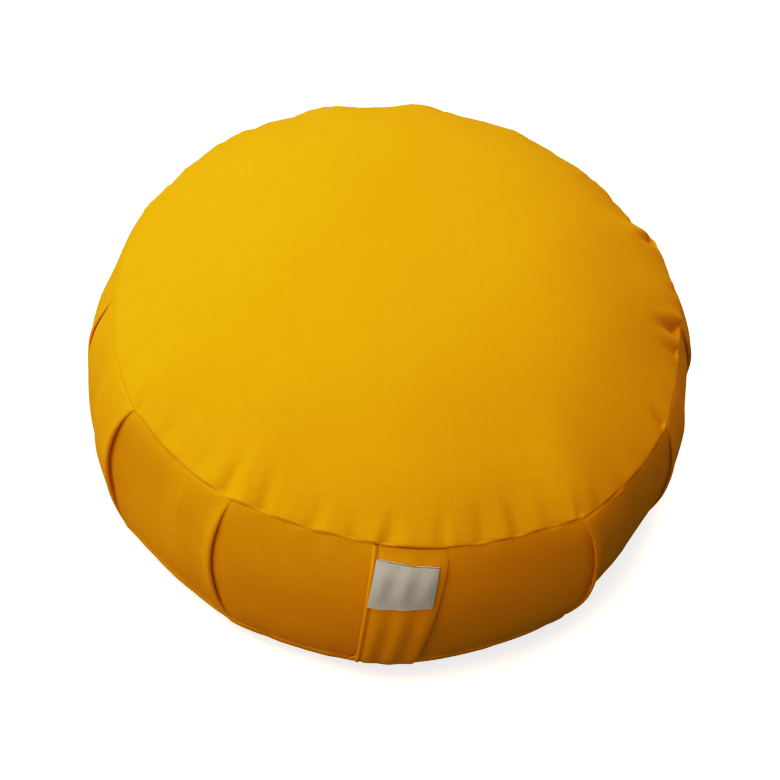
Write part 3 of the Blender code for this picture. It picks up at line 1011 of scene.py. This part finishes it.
def floor_material(colour):
    """A plain pale floor that looks bright to the camera and throws little light back."""
    material = bpy.data.materials.new("studio_floor")
    material.use_nodes = True
    tree = material.node_tree
    shader = tree.nodes["Principled BSDF"]
    seen = tree.nodes.new("ShaderNodeLightPath").outputs["Is Camera Ray"]
    set_inputs(tree, shader, {
        "Roughness": 0.9, "Specular IOR Level": 0.0,
        "Base Color": mix_colour(tree, seen, FLOOR_BOUNCE, colour),
        "Emission Color": WHITE, "Emission Strength": maths(tree, "MULTIPLY", seen, FLOOR_GLOW)})
    return material


def dome_light(world, heading, ambient, gradient):
    """Light from all round that grows evenly towards one side, as from a large soft box.

    The camera sees a plain pale backdrop instead of the light."""
    world.use_nodes = True
    tree = world.node_tree
    product, total, difference = arithmetic(tree)
    background = tree.nodes["Background"]
    direction = tree.nodes.new("ShaderNodeTexCoord").outputs["Generated"]
    dot = tree.nodes.new("ShaderNodeVectorMath")
    dot.operation = "DOT_PRODUCT"
    tree.links.new(direction, dot.inputs[0])
    dot.inputs[1].default_value = Vector(heading).normalized()
    light = maths(tree, "MULTIPLY_ADD", dot.outputs["Value"], gradient, ambient)
    light = maths(tree, "MAXIMUM", light, 0.0)
    seen = tree.nodes.new("ShaderNodeLightPath").outputs["Is Camera Ray"]
    unseen = difference(1.0, seen)
    strength = total(product(light, unseen), seen)
    tree.links.new(strength, background.inputs["Strength"])
    background.inputs["Color"].default_value = WHITE


def aim_camera(camera, studio):
    """Put the camera round the base's middle, which shows off the picture's centre."""
    bearing, height = math.radians(studio.azimuth), math.radians(studio.elevation)
    level = math.cos(height)
    back = Vector((math.sin(bearing) * level, -math.cos(bearing) * level, math.sin(height)))
    focal_share = studio.focal / camera.data.sensor_width
    seen = Vector(((studio.base_x - 0.5) / focal_share, (0.5 - studio.base_y) / focal_share, -1.0))
    roll = Matrix.Rotation(math.radians(studio.roll), 3, "Z").to_quaternion()
    facing = (-back).to_track_quat("-Z", "Y") @ roll
    camera.rotation_mode = "QUATERNION"
    camera.rotation_quaternion = facing @ Vector((0.0, 0.0, -1.0)).rotation_difference(seen).inverted()
    camera.location = back * studio.distance


def deepen_shade(view):
    """A camera's tone curve, which deepens the shade and leaves the light tones alone."""
    view.use_curve_mapping = True
    curve = view.curve_mapping.curves[3]
    for shade, shown in TONE_CURVE:
        curve.points.new(shade, shown)
    view.curve_mapping.update()


class ZAFU_OT_stage(bpy.types.Operator):
    """Set up the camera, a plain pale floor and soft studio light"""
    bl_idname = "zafu.stage"
    bl_label = "Studio"

    def execute(self, context):
        scene = context.scene
        studio = scene.zafu_studio
        camera_data = bpy.data.cameras.new("studio_camera")
        camera_data.lens = studio.focal
        camera_data.sensor_width = 36.0
        camera = bpy.data.objects.new("studio_camera", camera_data)
        scene.collection.objects.link(camera)
        scene.camera = camera
        aim_camera(camera, studio)
        corners = [(x * FLOOR_HALF, y * FLOOR_HALF, -FLOOR_DROP)
                   for x, y in ((-1, -1), (1, -1), (1, 1), (-1, 1))]
        floor = mesh_object("studio_floor", corners, [(0, 1, 2, 3)], [floor_material(tuple(studio.floor))])
        world = bpy.data.worlds.new("studio_world")
        scene.world = world
        dome_light(world, studio.light_heading, studio.ambient, studio.gradient)
        scene.view_settings.view_transform = "Standard"
        deepen_shade(scene.view_settings)
        return {"FINISHED"}


class ZAFU_PT_panel(bpy.types.Panel):
    """The cushion's operators and sizes"""
    bl_idname = "ZAFU_PT_panel"
    bl_label = "Zafu Cushion"
    bl_space_type = "VIEW_3D"
    bl_region_type = "UI"
    bl_category = "Zafu"

    def draw(self, context):
        scene = context.scene
        for operator, group in zip(OPERATORS, (scene.zafu_cushion, scene.zafu_strap, scene.zafu_label,
                                               scene.zafu_studio)):
            box = self.layout.box()
            box.operator(operator.bl_idname)
            for name in group.__annotations__:
                box.prop(group, name)
        looks = self.layout.box()
        for name in ZafuClothLooks.__annotations__:
            looks.prop(scene.zafu_looks, name)


OPERATORS = (ZAFU_OT_cover, ZAFU_OT_strap, ZAFU_OT_label, ZAFU_OT_stage)
SETTINGS = {"zafu_cushion": ZafuCushionSize, "zafu_strap": ZafuStrapSize, "zafu_label": ZafuLabelSize,
            "zafu_looks": ZafuClothLooks, "zafu_studio": ZafuStudio}


def register():
    for item in (*SETTINGS.values(), *OPERATORS, ZAFU_PT_panel):
        bpy.utils.register_class(item)
    for name, group in SETTINGS.items():
        setattr(bpy.types.Scene, name, PointerProperty(type=group))


def unregister():
    for name in SETTINGS:
        delattr(bpy.types.Scene, name)
    for item in reversed((*SETTINGS.values(), *OPERATORS, ZAFU_PT_panel)):
        bpy.utils.unregister_class(item)


def main():
    register()
    for operator in OPERATORS:
        getattr(bpy.ops.zafu, operator.bl_idname.split(".")[1])()


if __name__ == "__main__":
    main()
